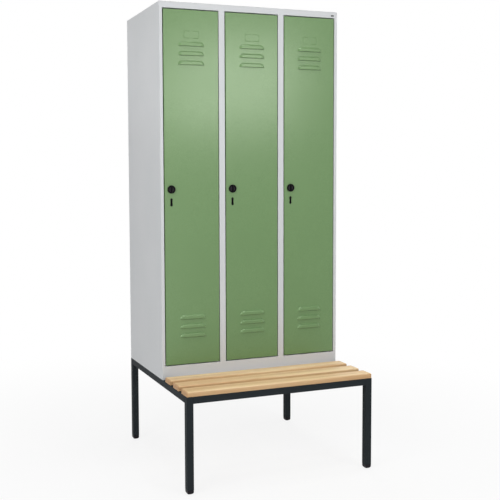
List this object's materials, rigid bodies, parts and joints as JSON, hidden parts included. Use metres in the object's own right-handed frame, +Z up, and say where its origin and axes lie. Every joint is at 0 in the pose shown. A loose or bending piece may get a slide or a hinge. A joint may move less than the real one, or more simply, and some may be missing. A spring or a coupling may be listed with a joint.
{
  "type": "locker with bench",
  "caption": "Steel clothes locker with hinged louvred doors on a tube frame that runs forward as a slatted wooden bench.",
  "frame": {"origin": "on the floor, under the middle of the whole object's box", "axes": "+Z up, -Y towards the doors and the bench, +X to the right of someone facing the doors"},
  "size_m": [0.9, 0.815, 2.12],
  "materials": {
    "grey_coat": "light grey powder coat, satin with a fine orange peel",
    "green_coat": "soft leaf green powder coat, satin with a fine orange peel",
    "black_plastic": "moulded black plastic, satin",
    "zinc": "bright zinc plating",
    "anthracite_coat": "anthracite powder coat, satin",
    "beech": "clear lacquered beech, grain along the slat"
  },
  "bodies": {
    "cabinet": {"side_panel_left": "grey_coat", "side_panel_right": "grey_coat", "back_panel": "grey_coat", "top_panel": "grey_coat", "floor_panel": "grey_coat", "base_panel": "grey_coat", "partition_1": "grey_coat", "partition_2": "grey_coat", "front_stile_left": "grey_coat", "front_stile_right": "grey_coat", "front_stile_middle_1": "grey_coat", "front_stile_middle_2": "grey_coat", "front_top_rail": "grey_coat", "front_bottom_rail": "grey_coat", "hat_shelf_left": "grey_coat", "hat_shelf_middle": "grey_coat", "hat_shelf_right": "grey_coat", "foot_front_left": "black_plastic", "foot_front_right": "black_plastic", "foot_back_left": "black_plastic", "foot_back_right": "black_plastic", "coat_rail_left": "zinc", "coat_rail_middle": "zinc", "coat_rail_right": "zinc", "bench_leg_front_left": "anthracite_coat", "bench_leg_front_right": "anthracite_coat", "bench_leg_back_left": "anthracite_coat", "bench_leg_back_right": "anthracite_coat", "bench_front_rail": "anthracite_coat", "bench_middle_rail": "anthracite_coat", "bench_back_rail": "anthracite_coat", "bench_side_rail_left": "anthracite_coat", "bench_side_rail_right": "anthracite_coat", "seat_slat_front": "beech", "seat_slat_middle": "beech", "seat_slat_rear": "beech"},
    "door_left": {"door_panel_left": "green_coat", "door_stiffener_left": "green_coat", "hinge_pin_upper_left": "zinc", "hinge_pin_lower_left": "zinc", "slot_liner_left": "black_plastic"},
    "latch_left": {"latch_knob_left": "black_plastic", "latch_cam_left": "zinc"},
    "hook_left": {"coat_hook_left": "zinc"},
    "door_middle": {"door_panel_middle": "green_coat", "door_stiffener_middle": "green_coat", "hinge_pin_upper_middle": "zinc", "hinge_pin_lower_middle": "zinc", "slot_liner_middle": "black_plastic"},
    "latch_middle": {"latch_knob_middle": "black_plastic", "latch_cam_middle": "zinc"},
    "hook_middle": {"coat_hook_middle": "zinc"},
    "door_right": {"door_panel_right": "green_coat", "door_stiffener_right": "green_coat", "hinge_pin_upper_right": "zinc", "hinge_pin_lower_right": "zinc", "slot_liner_right": "black_plastic"},
    "latch_right": {"latch_knob_right": "black_plastic", "latch_cam_right": "zinc"},
    "hook_right": {"coat_hook_right": "zinc"}
  },
  "joints": [
    {"name": "door_left_hinge", "type": "hinge", "parent": "cabinet", "child": "door_left", "pos_m": [-0.17733, -0.086, 0.4848], "axis": [0, 0, 1], "range_deg": [0, 110]},
    {"name": "door_middle_hinge", "type": "hinge", "parent": "cabinet", "child": "door_middle", "pos_m": [0.12233, -0.086, 0.4848], "axis": [0, 0, 1], "range_deg": [0, 110]},
    {"name": "door_right_hinge", "type": "hinge", "parent": "cabinet", "child": "door_right", "pos_m": [0.422, -0.086, 0.4848], "axis": [0, 0, 1], "range_deg": [0, 110]},
    {"name": "latch_left_turn", "type": "hinge", "parent": "door_left", "child": "latch_left", "pos_m": [-0.399, -0.0925, 1.2864], "axis": [0, 1, 0], "range_deg": [0, 90]},
    {"name": "latch_middle_turn", "type": "hinge", "parent": "door_middle", "child": "latch_middle", "pos_m": [-0.09933, -0.0925, 1.2864], "axis": [0, 1, 0], "range_deg": [0, 90]},
    {"name": "latch_right_turn", "type": "hinge", "parent": "door_right", "child": "latch_right", "pos_m": [0.20033, -0.0925, 1.2864], "axis": [0, 1, 0], "range_deg": [0, 90]},
    {"name": "hook_left_slide", "type": "slide", "parent": "cabinet", "child": "hook_left", "axis": [1, 0, 0], "range_m": [-0.14, 0.14]},
    {"name": "hook_middle_slide", "type": "slide", "parent": "cabinet", "child": "hook_middle", "axis": [1, 0, 0], "range_m": [-0.14, 0.14]},
    {"name": "hook_right_slide", "type": "slide", "parent": "cabinet", "child": "hook_right", "axis": [1, 0, 0], "range_m": [-0.14, 0.14]}
  ]
}
